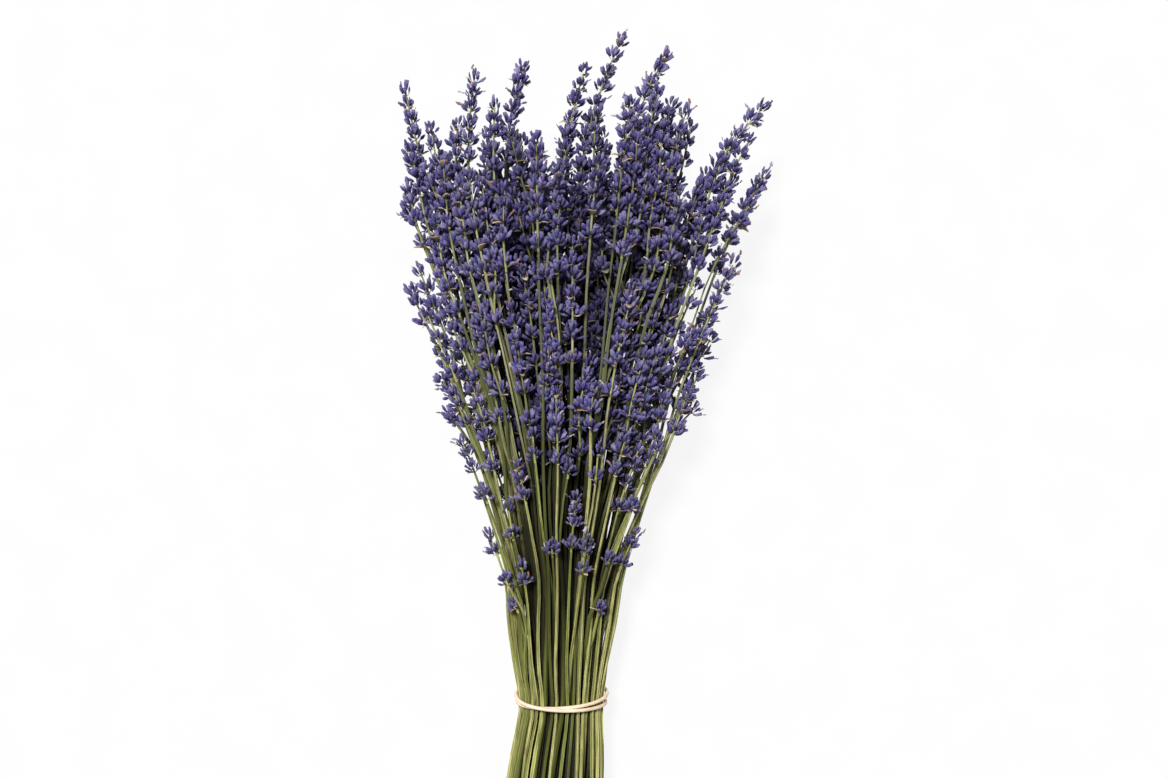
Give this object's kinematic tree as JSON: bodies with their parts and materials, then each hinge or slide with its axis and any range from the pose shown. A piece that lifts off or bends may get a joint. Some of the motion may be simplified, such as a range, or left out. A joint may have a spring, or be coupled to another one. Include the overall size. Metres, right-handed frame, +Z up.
{
  "type": "bunch of dried lavender",
  "caption": "Bunch of dried lavender lying down: long green stems with purple flower spikes, gathered by a doubled rubber band.",
  "frame": {"origin": "on the table under the middle of the bunch's bounding box", "axes": "+Y along the stems towards the flower tips, +Z up from the table, +X to the right seen from above with the tips away from the viewer"},
  "size_m": [0.1726, 0.39, 0.087],
  "materials": {
    "dry_stem": "dry matte green stalk, finely ribbed",
    "lavender_flower": "matte downy blue-violet calyx",
    "band_rubber": "pale beige natural rubber, slightly shiny"
  },
  "bodies": {
    "root": {"rubber_band": "band_rubber", "spike_01": "lavender_flower", "spike_02": "lavender_flower", "spike_03": "lavender_flower", "spike_04": "lavender_flower", "spike_05": "lavender_flower", "spike_06": "lavender_flower", "spike_07": "lavender_flower", "spike_08": "lavender_flower", "spike_09": "lavender_flower", "spike_10": "lavender_flower", "spike_11": "lavender_flower", "spike_12": "lavender_flower", "spike_13": "lavender_flower", "spike_14": "lavender_flower", "spike_15": "lavender_flower", "spike_16": "lavender_flower", "spike_17": "lavender_flower", "spike_18": "lavender_flower", "spike_19": "lavender_flower", "spike_20": "lavender_flower", "spike_21": "lavender_flower", "spike_22": "lavender_flower", "spike_23": "lavender_flower", "spike_24": "lavender_flower", "spike_25": "lavender_flower", "spike_26": "lavender_flower", "spike_27": "lavender_flower", "spike_pair_28": "lavender_flower", "spike_pair_29": "lavender_flower", "spike_pair_30": "lavender_flower", "spike_pair_31": "lavender_flower", "spike_pair_32": "lavender_flower", "spike_pair_33": "lavender_flower", "spike_pair_34": "lavender_flower", "spike_pair_35": "lavender_flower", "spike_pair_36": "lavender_flower", "spike_pair_37": "lavender_flower", "spike_pair_38": "lavender_flower", "spike_pair_39": "lavender_flower", "spike_pair_40": "lavender_flower", "spike_pair_41": "lavender_flower", "spike_pair_42": "lavender_flower", "spike_pair_43": "lavender_flower", "spike_pair_44": "lavender_flower", "spike_pair_45": "lavender_flower", "spike_pair_46": "lavender_flower", "spike_pair_47": "lavender_flower", "spike_pair_48": "lavender_flower", "spike_pair_49": "lavender_flower", "spike_pair_50": "lavender_flower", "spike_pair_51": "lavender_flower", "spike_pair_52": "lavender_flower", "spike_pair_53": "lavender_flower", "spike_pair_54": "lavender_flower", "spike_pair_55": "lavender_flower", "spike_pair_56": "lavender_flower", "spike_pair_57": "lavender_flower", "spike_pair_58": "lavender_flower", "stems": "dry_stem"}
  },
  "joints": []
}
